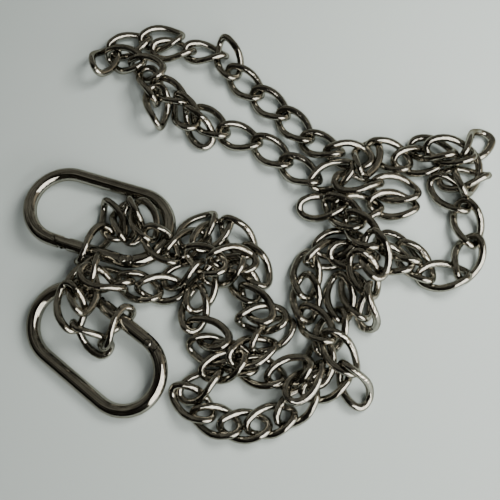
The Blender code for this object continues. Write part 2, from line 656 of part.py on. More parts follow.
def make_links(heap, finish):
    """The chain, two neighbouring links in each node, which meet where one hangs in the other."""
    count = len(heap.places)
    for first in range(0, count, 2):
        members = range(first, min(first + 2, count))
        matrices = [quaternion_matrix(heap.places[k], heap.turns[k]) for k in members]
        name = "links_" + "_".join(f"{k + 1:03d}" for k in members)
        thing = new_object(name, link_mesh(), finish)
        for matrix in matrices[1:]:
            neighbour = new_object("neighbour", link_mesh(), finish)
            neighbour.matrix_world = matrices[0].inverted() @ matrix
            bpy.context.view_layer.update()
            combine(thing, neighbour, "UNION")
        keep_outer_skin(thing)
        thing.matrix_world = matrices[0]
        smooth(thing)


def hinge_tongue():
    """The flat tongue of the ring's body that the gate's fork fits over, with the rivet's hole."""
    half = TONGUE_THICKNESS / 2
    side = TONGUE_WIDTH / 2
    tongue = box((0, -side, -half), (TAIL_RADIUS + FIT_GAP + TONGUE_ROOT, side, half))
    rivet = Matrix.Translation((RIVET_X, RIVET_Y, 0))
    tongue.data.transform(rivet @ Matrix.Rotation(-TONGUE_SLOPE, 4, "Z"))
    combine(tongue, disc(RIVET_X, RIVET_Y, side, -half, half, TONGUE_SIDES), "UNION")
    return tongue


def nose_tongue():
    """The tongue with a cross bar that the gate's other end closes over."""
    half = TONGUE_THICKNESS / 2
    side = TONGUE_WIDTH / 2
    tip = -HALF_STRAIGHT + NOSE_REACH
    tongue = box((-HALF_STRAIGHT - NOSE_ROOT, BEND_RADIUS - side, -half),
                 (tip - NOSE_BAR_LENGTH / 2, BEND_RADIUS + side, half))
    bar_side = NOSE_BAR_WIDTH / 2
    bar_half = NOSE_BAR_HEIGHT / 2
    bar = box((tip - NOSE_BAR_LENGTH, BEND_RADIUS - bar_side, -bar_half),
              (tip, BEND_RADIUS + bar_side, bar_half))
    combine(tongue, bar, "UNION")
    return tongue


def slanted_box(start, end):
    """A box across the bar, set on the slant of the nose, between two distances from its joint."""
    wide = 2 * RING_RADIUS
    tool = box((start, -wide, -wide), (end, wide, wide))
    joint = Matrix.Translation((-HALF_STRAIGHT + NOSE_SHIFT, BEND_RADIUS, 0))
    tool.data.transform(joint @ Matrix.Rotation(-NOSE_SLANT, 4, "Z"))
    return tool


def make_ring_body(name, down, finish):
    """The open ring with its two tongues; down is the way to the floor in the ring's own frame."""
    # A flat of the section faces the floor along the far straight side, where the ring rests
    start_angle = math.atan2(down[1], down[2]) + math.pi / RING_SIDES
    path = np.vstack([ring_body_path(), [-HALF_STRAIGHT + NOSE_OVERRUN, BEND_RADIUS, 0.0]])
    shape = swept(path, False, RING_RADIUS, RING_SIDES, lambda point: (0, 0, 1), start_angle)
    body = new_object(name, shape, finish)
    combine(body, slanted_box(0.0, 2 * NOSE_OVERRUN), "DIFFERENCE")

    # The hinge end is hollowed round the gate's tail, and its tongue goes into the gate's fork
    wide = RING_RADIUS + FIT_GAP
    hollow = disc(RIVET_X, RIVET_Y, TAIL_RADIUS + FIT_GAP, -wide, wide, TAIL_SIDES)
    combine(hollow, box((0, 0, -wide), (RIVET_X, BEND_RADIUS + wide, wide)), "UNION")
    combine(body, hollow, "DIFFERENCE")
    combine(body, hinge_tongue(), "UNION")
    hole = RIVET_RADIUS + FIT_GAP
    combine(body, disc(RIVET_X, RIVET_Y, hole, -RING_RADIUS, RING_RADIUS, RIVET_SIDES), "DIFFERENCE")
    combine(body, nose_tongue(), "UNION")
    smooth(body)
    return body


def make_gate(name, finish):
    """The gate: a round bar, forked at both ends, recessed for the rivet's heads."""
    path = np.vstack([ring_body_path()[-1:], ring_body_path()[:TAIL_ARC_STEPS + 1]])
    bar = swept(path, False, RING_RADIUS, RING_SIDES, lambda point: (0, 0, 1), math.pi / RING_SIDES)
    gate = new_object(name, bar, finish)
    combine(gate, slanted_box(-3 * NOSE_OVERRUN, FIT_GAP), "DIFFERENCE")
    wide = RING_RADIUS + FIT_GAP
    low, high = BEND_RADIUS - 2 * wide, BEND_RADIUS + wide

    # The tail is rounded about the rivet so that it can swing
    start = -HALF_STRAIGHT - wide
    keep = box((start, low, -wide), (RIVET_X, high, wide))
    combine(keep, disc(RIVET_X, RIVET_Y, TAIL_RADIUS, -wide, wide, TAIL_SIDES), "UNION")
    combine(gate, keep, "INTERSECT")

    # Fork, rivet's hole and the recesses of its heads
    half = SLOT_THICKNESS / 2
    slot_end = RIVET_X + TAIL_RADIUS + FIT_GAP
    combine(gate, box((HINGE_SLOT_END, low, -half), (slot_end, high, half)), "DIFFERENCE")
    hole = RIVET_RADIUS + FIT_GAP
    combine(gate, disc(RIVET_X, RIVET_Y, hole, -wide, wide, RIVET_SIDES), "DIFFERENCE")
    recess = RIVET_HEAD_RADIUS + FIT_GAP
    for bottom, top in ((RECESS_DEPTH, wide), (-wide, -RECESS_DEPTH)):
        combine(gate, disc(RIVET_X, RIVET_Y, recess, bottom, top, RIVET_SIDES), "DIFFERENCE")

    # Fork of the nose and the wider pocket that hooks over the cross bar
    tip = -HALF_STRAIGHT + NOSE_REACH
    pocket_end = tip + NOSE_PLAY
    combine(gate, box((start, low, -half), (pocket_end, high, half)), "DIFFERENCE")
    half = NOSE_BAR_HEIGHT / 2 + FIT_GAP
    pocket_start = tip - NOSE_BAR_LENGTH - NOSE_PLAY
    combine(gate, box((pocket_start, low, -half), (pocket_end, high, half)), "DIFFERENCE")

    gate.data.transform(Matrix.Translation((-RIVET_X, -RIVET_Y, 0)))
    gate.location = (RIVET_X, RIVET_Y, 0)
    smooth(gate)
    return gate


def make_rivet(name, finish):
    """The rivet, a pin with a low domed head at each end, turned about its axis."""
    under = RECESS_DEPTH + FIT_GAP
    top = under + RIVET_HEAD_HEIGHT
    half = [(0.0, top),
            (RIVET_HEAD_RADIUS * RIVET_CROWN_WIDTH, top - RIVET_HEAD_HEIGHT * RIVET_CROWN_DEPTH),
            (RIVET_HEAD_RADIUS, under + RIVET_HEAD_HEIGHT * RIVET_RIM_SHARE),
            (RIVET_HEAD_RADIUS, under),
            (RIVET_RADIUS, under)]
    outline = half + [(radius, -height) for radius, height in reversed(half)]
    shape = bmesh.new()
    corners = [shape.verts.new((radius, 0, height)) for radius, height in outline]
    edges = [shape.edges.new(pair) for pair in zip(corners, corners[1:])]
    bmesh.ops.spin(shape, geom=corners + edges, cent=(0, 0, 0), axis=(0, 0, 1), angle=2 * math.pi,
                   steps=RIVET_SIDES, use_merge=True)
    bmesh.ops.remove_doubles(shape, verts=shape.verts, dist=1e-6)
    rivet = new_object(name, shape, finish)
    rivet.location = (RIVET_X, RIVET_Y, 0)
    smooth(rivet)
    return rivet


def make_rings(finishes):
    """Both snap rings, each with its body, gate and rivet on one empty."""
    for name, ring in RINGS.items():
        turn, centre = ring_place(ring)
        holder = bpy.data.objects.new(f"{name}_ring", None)
        bpy.context.scene.collection.objects.link(holder)
        rotation = Matrix([list(row) for row in turn])
        holder.matrix_world = Matrix.Translation(centre) @ rotation.to_4x4()
        down = turn.T @ np.array([0, 0, -1.0])
        for piece in (make_ring_body(f"{name}_ring_body", down, finishes["ring"]),
                      make_gate(f"{name}_ring_gate", finishes["gate"]),
                      make_rivet(f"{name}_ring_rivet", finishes["rivet"])):
            piece.parent = holder


def centre_heap():
    """Moves the heap over the floor so that its middle lies at the origin."""
    bpy.context.view_layer.update()
    points = [thing.matrix_world @ corner.co for thing in bpy.data.objects if thing.type == "MESH"
              for corner in thing.data.vertices]
    for axis in (0, 1):
        places = [point[axis] for point in points]
        middle = (min(places) + max(places)) / 2
        for thing in bpy.data.objects:
            if thing.parent is None:
                thing.location[axis] -= middle


def main():
    for thing in list(bpy.data.objects):
        bpy.data.objects.remove(thing)
    chain = material("plated_chain_wire", CHAIN_COLOUR, CHAIN_ROUGHNESS)
    finishes = {"ring": material("plated_ring_wire", RING_COLOUR, RING_ROUGHNESS),
                "gate": material("plated_gate", GATE_COLOUR, RING_ROUGHNESS),
                "rivet": material("plated_rivet", RIVET_COLOUR, RING_ROUGHNESS)}
    make_links(laid(), chain)
    make_rings(finishes)
    centre_heap()


if __name__ == "__main__":
    main()
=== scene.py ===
"""Looks of the chain heap: plated curb links and two oval snap rings, laid round the CAD frame.

Each piece is modelled once in its own frame, in metres, and then placed where the CAD node lies.
"""

import json
import math

import bmesh
import bpy
import numpy as np
from bpy.props import FloatProperty, FloatVectorProperty, IntProperty, PointerProperty
from mathutils import Matrix, Vector


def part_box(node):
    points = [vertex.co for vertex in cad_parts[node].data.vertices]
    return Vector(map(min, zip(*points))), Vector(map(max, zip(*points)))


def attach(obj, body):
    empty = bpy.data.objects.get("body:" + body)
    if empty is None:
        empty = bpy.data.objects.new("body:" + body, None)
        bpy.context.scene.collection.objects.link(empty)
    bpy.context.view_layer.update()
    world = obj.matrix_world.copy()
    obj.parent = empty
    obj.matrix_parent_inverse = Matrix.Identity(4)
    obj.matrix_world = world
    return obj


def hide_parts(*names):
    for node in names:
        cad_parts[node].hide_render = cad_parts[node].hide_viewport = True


bl_info = {
    "name": "Chain heap",
    "version": (1, 0, 0),
    "blender": (4, 5, 0),
    "location": "3D View > Sidebar > Chain heap",
    "description": "Models a heap of plated chain with a snap ring on each end",
    "category": "Object",
}

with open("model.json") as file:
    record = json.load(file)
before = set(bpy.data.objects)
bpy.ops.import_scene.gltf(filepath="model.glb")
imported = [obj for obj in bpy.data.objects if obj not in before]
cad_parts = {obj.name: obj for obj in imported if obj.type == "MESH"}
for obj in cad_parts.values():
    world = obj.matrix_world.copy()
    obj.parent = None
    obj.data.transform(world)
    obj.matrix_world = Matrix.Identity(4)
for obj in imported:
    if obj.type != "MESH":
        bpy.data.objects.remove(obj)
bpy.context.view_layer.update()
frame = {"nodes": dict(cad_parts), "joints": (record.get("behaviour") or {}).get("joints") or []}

CHAIN_BODY = "chain_and_rings"
RING_NAMES = ("upper", "lower")

# Sizes that the CAD's links are drawn with, used to find where each one lies
CAD_CORNERS = 12
CAD_SIDES = 6
CAD_CORNER_RADIUS = 0.00106
CAD_END_ROUNDING = 0.92
CAD_SIDE_ROUNDING = 0.88
MATCH_DIGITS = 6
MATCH_DISTANCE = 0.00002
MATCH_SHARE = 0.75

# How fine the meshes are, and from what angle on an edge is rounded or looks sharp
MERGE_DISTANCE = 0.00001
ROUND_SIDES = 48
EDGE_STEPS = 2
ROUNDED_EDGE = math.radians(38)
SHARP_EDGE = math.radians(40)

# Steps along half a link's side and round its ends, and how far round its end the seam lies
LINK_SIDE_STEPS = 4
LINK_END_STEPS = 12
STEPS_BEFORE_SEAM = 5
SEAM_PLACE = 0.42

# Steps round a ring's bends, and the stretch of bend that the gate is cut from
RING_BEND_STEPS = 40
GATE_BEND = math.radians(30)
GATE_BEND_STEPS = 7

# Sizes of the fit between a ring's body, its gate and its rivet. The bar on the nose tongue has
# its size along the wire, across it and upright
FIT_GAP = 0.0003
TONGUE_THICKNESS = 0.0015
TONGUE_WIDTH = 0.0030
TONGUE_ROOT = 0.0010
TONGUE_SLOPE = math.radians(15)
NOSE_ROOT = 0.0004
NOSE_REACH = 0.0054
NOSE_BAR = (0.0008, 0.0018, 0.0025)
NOSE_PLAY = 0.0006
PIN_RADIUS = 0.0006
RECESS_DEPTH = 0.0016
HEAD_RIM = 0.3
HEAD_STEPS = 5

# How far a ring's upright direction may be from its gate's hinge axis, both taken one long
AXIS_PLAY = 0.005

# The plating's tint where it is seen on the slant, its dull patches and its rub marks, each with
# the stretch of its pattern over which it comes in, and the dents and the grain of its skin
EDGE_TINT = (0.25, 0.22, 0.18, 1.0)
PATCHES = {"Scale": 260, "Detail": 5, "Roughness": 0.6}
PATCH_SPAN = (0.32, 0.55)
RUB_MARKS = {"Scale": 900, "Detail": 6, "Distortion": 1.2}
RUB_SPAN = (0.3, 0.75)
DENTS = {"Scale": 420, "Detail": 2}
DENT_HEIGHT = 0.0003
GRAIN_DETAIL = 4
GRAIN_STRENGTH = 0.15
GRAIN_HEIGHT = 0.00003

# Each part's own finish: its least and greatest roughness, the scale of its grain and how strong
# its dents are
LINK_FINISH = {"roughness": (0.07, 0.18), "grain": 2600, "dents": 0.5}
RING_FINISH = {"roughness": (0.06, 0.15), "grain": 1600, "dents": 0.12}
GATE_FINISH = {"roughness": (0.06, 0.16), "grain": 1500, "dents": 0.12}
RIVET_FINISH = {"roughness": (0.12, 0.3), "grain": 4000, "dents": 0.1}

# The floor, and the distances from the heap between which it fades into the backdrop
FLOOR_SIZE = 3
FLOOR_ROUGHNESS = 0.5
FLOOR_SHINE = 0.2
FLOOR_FADE = (0.18, 0.75)

# The mirrored room: the way to its two bright walls, how squarely a direction must face each,
# where the ceiling comes between dark and pale, and the shapes that break the walls up
PALE_WALL_SIDE = (0.26, 0.97, 0.0)
PALE_WALL_SPAN = (-0.75, 0.60)
LIT_WALL_SIDE = (0.97, -0.17, 0.17)
LIT_WALL_SPAN = (0.72, 0.97)
CEILING_PLACE = 0.5
CLUTTER = {"Scale": 3.2, "Detail": 5, "Roughness": 0.68}
CLUTTER_STRETCH = (1, 1, 2.4)
CLUTTER_SPAN = (0.40, 0.60)
CLUTTER_REACH = (-0.80, 0.55)

# The lights: four panes of a window, one above the other, and a small lamp
LIGHT_COLOUR = (1.0, 0.97, 0.90)
PANE_OFFSETS = (-0.24, -0.09, 0.06, 0.21)
PANE_SIZE = (0.50, 0.075)
LAMP_SIZE = (0.12, 0.12)

# The camera
PICTURE_SENSOR = 36
CAMERA_NEAR = 0.01
CAMERA_RIGHT = (0.995, 0.0, -0.1)
CAMERA_UP = (0.0253, 0.9675, 0.2516)
CAMERA_FROM_RIVET = (0.048821, -0.021937, 0.189246)


class ChainSizes(bpy.types.PropertyGroup):
    """Sizes of one chain link"""
    wire_radius: FloatProperty(
        name="Wire radius", description="Radius of the link's round wire",
        default=0.00115, min=0.0002, unit="LENGTH", precision=5)
    length: FloatProperty(
        name="Length", description="Outer length of a link",
        default=0.0165, min=0.004, unit="LENGTH", precision=5)
    width: FloatProperty(
        name="Width", description="Outer width of a link",
        default=0.0101, min=0.003, unit="LENGTH", precision=5)
    end_radius: FloatProperty(
        name="End radius", description="Radius of the wire's centreline round a link's end",
        default=0.0029, min=0.001, unit="LENGTH", precision=5)
    turn: FloatProperty(
        name="Turn", description="How far each end is turned out of the flat about the long axis",
        default=math.radians(-42), subtype="ANGLE")
    seam_width: FloatProperty(
        name="Seam width", description="Half the width of the groove where the wire's ends meet",
        default=0.00012, min=0.0, unit="LENGTH", precision=5)
    seam_share: FloatProperty(
        name="Seam share", description="Wire radius at the bottom of the seam, as a share",
        default=0.90, min=0.5, max=1.0)
    wire_sides: IntProperty(
        name="Wire sides", description="Faces round the wire", default=14, min=6)


class RingSizes(bpy.types.PropertyGroup):
    """Sizes of one snap ring and the way each of the two lies"""
    length: FloatProperty(
        name="Length", description="Outer length of the ring",
        default=0.0500, unit="LENGTH", precision=5)
    width: FloatProperty(
        name="Width", description="Outer width of the ring",
        default=0.0271, unit="LENGTH", precision=5)
    wire_radius: FloatProperty(
        name="Wire radius", description="Radius of the ring's round wire",
        default=0.0021, unit="LENGTH", precision=5)
    wire_sides: IntProperty(
        name="Wire sides", description="Faces round the wire", default=40, min=8)
    rivet_angle: FloatProperty(
        name="Rivet angle", description="How far round the hinge end's arc the rivet sits",
        default=math.radians(6.8), subtype="ANGLE")
    head_radius: FloatProperty(
        name="Rivet head radius", description="Radius of the rivet's domed heads",
        default=0.00105, unit="LENGTH", precision=5)
    head_height: FloatProperty(
        name="Rivet head height", description="Height of the rivet's domed heads",
        default=0.0004, unit="LENGTH", precision=5)
    tail_radius: FloatProperty(
        name="Gate tail radius", description="Radius of the gate's round tail about the rivet",
        default=0.0029, unit="LENGTH", precision=5)
    nose_shift: FloatProperty(
        name="Nose joint", description="Distance of the nose joint from the start of the bend",
        default=0.00155, unit="LENGTH", precision=5)
    nose_slant: FloatProperty(
        name="Nose slant", description="Slant of the joint between the nose and the gate",
        default=math.radians(35), subtype="ANGLE")
    edge: FloatProperty(
        name="Edge rounding", description="Width of the rounding on cut edges",
        default=0.00017, unit="LENGTH", precision=5)
    upper_heading: FloatProperty(
        name="Upper heading", description="Heading of the upper ring's long axis",
        default=math.radians(-17.7), subtype="ANGLE")
    upper_pitch: FloatProperty(
        name="Upper pitch", description="Rise of the upper ring's hinge end",
        default=math.radians(-3.0), subtype="ANGLE")
    upper_lean: FloatProperty(
        name="Upper lean", description="Lean of the upper ring about its long axis",
        default=math.radians(-6.0), subtype="ANGLE")
    lower_heading: FloatProperty(
        name="Lower heading", description="Heading of the lower ring's long axis",
        default=math.radians(-37.8), subtype="ANGLE")
    lower_pitch: FloatProperty(
        name="Lower pitch", description="Rise of the lower ring's hinge end",
        default=0.0, subtype="ANGLE")
    lower_lean: FloatProperty(
        name="Lower lean", description="Lean of the lower ring about its long axis",
        default=math.radians(8.0), subtype="ANGLE")


class PlateColours(bpy.types.PropertyGroup):
    """Colours of the plated metal"""
    chain_light: FloatVectorProperty(
        name="Chain, bright", description="Bright plating on the links",
        subtype="COLOR", size=4, min=0, max=1, default=(0.385, 0.373, 0.33, 1))
    chain_dark: FloatVectorProperty(
        name="Chain, dull", description="Dulled plating on the links",
        subtype="COLOR", size=4, min=0, max=1, default=(0.30, 0.287, 0.248, 1))
    ring_light: FloatVectorProperty(
        name="Ring, bright", description="Bright plating on the rings",
        subtype="COLOR", size=4, min=0, max=1, default=(0.385, 0.373, 0.33, 1))
    ring_dark: FloatVectorProperty(
        name="Ring, dull", description="Dulled plating on the rings",
        subtype="COLOR", size=4, min=0, max=1, default=(0.30, 0.287, 0.248, 1))


class StageSettings(bpy.types.PropertyGroup):
    """Floor, light and camera"""
    floor_colour: FloatVectorProperty(
        name="Floor", description="Colour of the plain floor",
        subtype="COLOR", size=4, min=0, max=1, default=(0.43, 0.487, 0.485, 1))
    backdrop_colour: FloatVectorProperty(
        name="Backdrop", description="Colour behind the floor",
        subtype="COLOR", size=4, min=0, max=1, default=(0.50, 0.51, 0.51, 1))
    room_light: FloatProperty(
        name="Room light", description="Strength of the soft light that fills the shadows",
        default=0.08, min=0)
    pale_wall: FloatVectorProperty(
        name="Pale wall", description="Colour that the metal mirrors from behind the heap",
        subtype="COLOR", size=4, min=0, max=1, default=(0.25, 0.243, 0.205, 1))
    ceiling: FloatVectorProperty(
        name="Ceiling", description="Colour that the metal mirrors from overhead",
        subtype="COLOR", size=4, min=0, max=1, default=(0.052, 0.048, 0.039, 1))
    dark_wall: FloatVectorProperty(
        name="Dark wall", description="Colour that the metal mirrors from the viewer's side",
        subtype="COLOR", size=4, min=0, max=1, default=(0.005, 0.004, 0.003, 1))
    lit_wall: FloatVectorProperty(
        name="Lit wall", description="Colour that the metal mirrors from beside the window",
        subtype="COLOR", size=4, min=0, max=1, default=(0.50, 0.44, 0.34, 1))
    lens: FloatProperty(
        name="Lens", description="Focal length of the camera, in millimetres",
        default=46.8, min=10)
    window_heading: FloatProperty(
        name="Window heading", description="Direction of the window light about the heap",
        default=math.radians(-46), subtype="ANGLE")
    window_height: FloatProperty(
        name="Window height", description="Angle of the window light above the floor",
        default=math.radians(34), subtype="ANGLE")
    window_distance: FloatProperty(
        name="Window distance", description="Distance of the window light from the heap",
        default=0.46, min=0.1, unit="LENGTH")
    window_power: FloatProperty(
        name="Window power", description="Power of each pane of the window light",
        default=1.12, min=0)
    lamp_heading: FloatProperty(
        name="Lamp heading", description="Direction of the lamp that casts the shadows",
        default=math.radians(20), subtype="ANGLE")
    lamp_height: FloatProperty(
        name="Lamp height", description="Angle of the lamp above the floor",
        default=math.radians(50), subtype="ANGLE")
    lamp_distance: FloatProperty(
        name="Lamp distance", description="Distance of the lamp from the heap",
        default=0.285, min=0.1, unit="LENGTH")
    lamp_power: FloatProperty(
        name="Lamp power", description="Power of the lamp",
        default=1.15, min=0)


# Blender's operators, used as by hand

def deselect_all():
    """Leaves nothing selected."""
    for thing in bpy.context.selected_objects:
        thing.select_set(False)


def make_active(thing):
    """Selects one object alone."""
    deselect_all()
    thing.select_set(True)
    bpy.context.view_layer.objects.active = thing


def edit_mode():
    """Opens the active object's mesh."""
    bpy.ops.object.mode_set(mode="EDIT")


def object_mode():
    """Closes the active object's mesh."""
    bpy.ops.object.mode_set(mode="OBJECT")


def selected_middle():
    """Middle of the open mesh's selected corners."""
    shape = bmesh.from_edit_mesh(bpy.context.edit_object.data)
    places = [corner.co.copy() for corner in shape.verts if corner.select]
    return sum(places, Vector()) / len(places)


def round_section(sides, radius, place, turn=(0, 0, 0), fill="NOTHING"):
    """Starts a piece with a round section, open or filled, and leaves its mesh open."""
    deselect_all()
    bpy.ops.mesh.primitive_circle_add(vertices=sides, radius=radius, fill_type=fill,
                                      location=place, rotation=turn)
    thing = bpy.context.active_object
    bpy.ops.object.transform_apply(location=True, rotation=True, scale=True)
    edit_mode()
    bpy.ops.mesh.select_all(action="SELECT")
    return thing


def wire_section(sides, radius, place):
    """Starts a piece with the section of its wire, which runs along X."""
    return round_section(sides, radius, place, (0, math.pi / 2, 0))


def bend_on(centre, angle, steps):
    """Carries the selected section on round a centre, turning clockwise seen from above."""
    bpy.ops.mesh.spin(steps=steps, angle=angle, center=centre, axis=(0, 0, 1))


def carry_on(step):
    """Carries the selected section straight on."""
    bpy.ops.mesh.extrude_region_move(TRANSFORM_OT_translate={"value": step})


def resize(share):
    """Resizes what is selected about its middle."""
    bpy.ops.transform.resize(value=(share, share, share), center_override=selected_middle())


def close_up():
    """Merges doubled corners and points all faces outwards."""
    bpy.ops.mesh.select_mode(type="VERT")
    bpy.ops.mesh.select_all(action="SELECT")
    bpy.ops.mesh.remove_doubles(threshold=MERGE_DISTANCE)
    bpy.ops.mesh.normals_make_consistent(inside=False)


def block(low, high):
    """A box between two corners, as a tool or the start of a flat part."""
    deselect_all()
    low, high = Vector(low), Vector(high)
    bpy.ops.mesh.primitive_cube_add(size=1, location=(low + high) / 2)
    thing = bpy.context.active_object
    thing.scale = high - low
    bpy.ops.object.transform_apply(location=True, rotation=True, scale=True)
    return thing


def round_bar(place, radius, low, high):
    """An upright round bar between two heights."""
    deselect_all()
    middle = (place[0], place[1], (low + high) / 2)
    bpy.ops.mesh.primitive_cylinder_add(vertices=ROUND_SIDES, radius=radius, depth=high - low,
                                        location=middle)
    bpy.ops.object.transform_apply(location=True, rotation=True, scale=True)
    return bpy.context.active_object


def combine(thing, tool, operation):
    """Joins a tool to a piece, cuts it out or keeps what both share, and removes the tool."""
    make_active(thing)
    step = thing.modifiers.new("Combine", "BOOLEAN")
    step.operation = operation
    step.solver = "EXACT"
    step.object = tool
    bpy.ops.object.modifier_apply(modifier=step.name)
    bpy.data.objects.remove(tool)


def soften_edges(thing, width):
    """Rounds the sharp edges of a piece."""
    make_active(thing)
    step = thing.modifiers.new("Soften", "BEVEL")
    step.limit_method = "ANGLE"
    step.angle_limit = ROUNDED_EDGE
    step.width = width
    step.segments = EDGE_STEPS
    step.use_clamp_overlap = True
    bpy.ops.object.modifier_apply(modifier=step.name)


def put(thing, matrix):
    """Moves a piece to its place and leaves that place in its mesh."""
    make_active(thing)
    thing.matrix_world = matrix
    bpy.ops.object.transform_apply(location=True, rotation=True, scale=True)


def dress(thing, name, finish, body, nodes):
    """Names a finished piece, gives it its finish, hangs it on what it rides on and hides the CAD
    parts it stands for.
    """
    make_active(thing)
    bpy.ops.object.shade_smooth_by_angle(angle=SHARP_EDGE)
    thing.name = name
    thing.data.name = name
    thing.data.materials.clear()
    thing.data.materials.append(finish)
    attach(thing, body)
    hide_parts(*nodes)


# Finishes

def noise(nodes, links, place, settings):
    """An uneven pattern read at a place, with its settings by name."""
    pattern = nodes.new("ShaderNodeTexNoise")
    for setting, value in settings.items():
        pattern.inputs[setting].default_value = value
    links.new(place, pattern.inputs["Vector"])
    return pattern.outputs["Fac"]


def spread(nodes, links, value, span, reach=(0, 1), ease="LINEAR"):
    """Carries the values of one span over to another, evenly or with soft ends."""
    share = nodes.new("ShaderNodeMapRange")
    share.interpolation_type = ease
    share.inputs["From Min"].default_value, share.inputs["From Max"].default_value = span
    share.inputs["To Min"].default_value, share.inputs["To Max"].default_value = reach
    links.new(value, share.inputs["Value"])
    return share.outputs["Result"]


def plated(name, bright, dull, roughness, grain, dents):
    """Nickel plate: bright and dulled patches, fine rub marks, shallow dents and a fine grain."""
    finish = bpy.data.materials.new(name)
    finish.use_nodes = True
    nodes, links = finish.node_tree.nodes, finish.node_tree.links
    shader = nodes["Principled BSDF"]
    shader.inputs["Metallic"].default_value = 1.0
    shader.inputs["Specular Tint"].default_value = EDGE_TINT
    place = nodes.new("ShaderNodeTexCoord").outputs["Object"]

    tone = nodes.new("ShaderNodeValToRGB")
    for stop, share, colour in zip(tone.color_ramp.elements, PATCH_SPAN, (dull, bright)):
        stop.position = share
        stop.color = colour
    links.new(noise(nodes, links, place, PATCHES), tone.inputs["Fac"])
    links.new(tone.outputs["Color"], shader.inputs["Base Color"])

    rubbed = noise(nodes, links, place, RUB_MARKS)
    links.new(spread(nodes, links, rubbed, RUB_SPAN, roughness), shader.inputs["Roughness"])

    fine = {"Scale": grain, "Detail": GRAIN_DETAIL}
    below = None
    for skin, strength, height in ((DENTS, dents, DENT_HEIGHT), (fine, GRAIN_STRENGTH, GRAIN_HEIGHT)):
        bump = nodes.new("ShaderNodeBump")
        bump.inputs["Strength"].default_value = strength
        bump.inputs["Distance"].default_value = height
        links.new(noise(nodes, links, place, skin), bump.inputs["Height"])
        if below:
            links.new(below.outputs["Normal"], bump.inputs["Normal"])
        below = bump
    links.new(below.outputs["Normal"], shader.inputs["Normal"])
    return finish


# Chain

def link_outline(sizes):
    """Corners of the CAD link's centreline, its long axis on X and its ends turned about it."""
    points = []
    for step in range(CAD_CORNERS):
        angle = 2 * math.pi * step / CAD_CORNERS
        along = math.copysign(abs(math.cos(angle)) ** CAD_END_ROUNDING, math.cos(angle))
        across = math.copysign(abs(math.sin(angle)) ** CAD_SIDE_ROUNDING, math.sin(angle))
        turn = sizes.turn * along
        half_width = sizes.width / 2 - sizes.wire_radius
        points.append(Vector(((sizes.length / 2 - sizes.wire_radius) * along,
                              half_width * across * math.cos(turn),
                              half_width * across * math.sin(turn))))
    return points


def cad_link_corners(sizes):
    """All corners of the CAD's link in its own frame."""
    path = link_outline(sizes)
    corners = []
    for k, point in enumerate(path):
        tangent = (path[(k + 1) % len(path)] - path[k - 1]).normalized()
        first = (point - tangent * point.dot(tangent)).normalized()
        second = tangent.cross(first)
        for side in range(CAD_SIDES):
            angle = 2 * math.pi * side / CAD_SIDES
            corners.append(point + CAD_CORNER_RADIUS * (first * math.cos(angle)
                                                        + second * math.sin(angle)))
    return np.array(corners)


def node_corners(node):
    """Corners of a CAD node, each once."""
    points = np.array([corner.co for corner in frame["nodes"][node].data.vertices])
    return np.unique(np.round(points, MATCH_DIGITS), axis=0)


def link_places(node, sizes):
    """Where the links of a CAD node lie, found by laying a link's corners over the node's."""
    points = node_corners(node)
    corners = cad_link_corners(sizes)
    end = sizes.length / 2 - sizes.wire_radius + CAD_CORNER_RADIUS
    side = sizes.width / 2 - sizes.wire_radius + CAD_CORNER_RADIUS
    apart = np.linalg.norm(points[:, None] - points[None], axis=2)
    found = []
    # Two corners a link's length apart may be the tips of its ends
    for one, other in np.argwhere(np.triu(np.abs(apart - 2 * end) < MATCH_DISTANCE)):
        centre = (points[one] + points[other]) / 2
        long_axis = (points[one] - points[other]) / (2 * end)
        offsets = points - centre
        along = offsets @ long_axis
        across = np.linalg.norm(offsets - along[:, None] * long_axis, axis=1)
        # A corner half a width off the middle then shows how the link is turned about its length
        for k in np.nonzero((np.abs(along) < MATCH_DISTANCE)
                            & (np.abs(across - side) < MATCH_DISTANCE))[0]:
            side_axis = offsets[k] / np.linalg.norm(offsets[k])
            turn = np.column_stack([long_axis, side_axis, np.cross(long_axis, side_axis)])
            laid = corners @ turn.T + centre
            nearest = np.linalg.norm(laid[:, None] - points[None], axis=2).min(1)
            share = (nearest < 2 * MATCH_DISTANCE).mean()
            known = any(np.linalg.norm(centre - place[:3, 3]) < sizes.wire_radius
                        for place in found)
            if share > MATCH_SHARE and not known:
                place = np.eye(4)
                place[:3, :3] = turn
                place[:3, 3] = centre
                found.append(place)
    return found


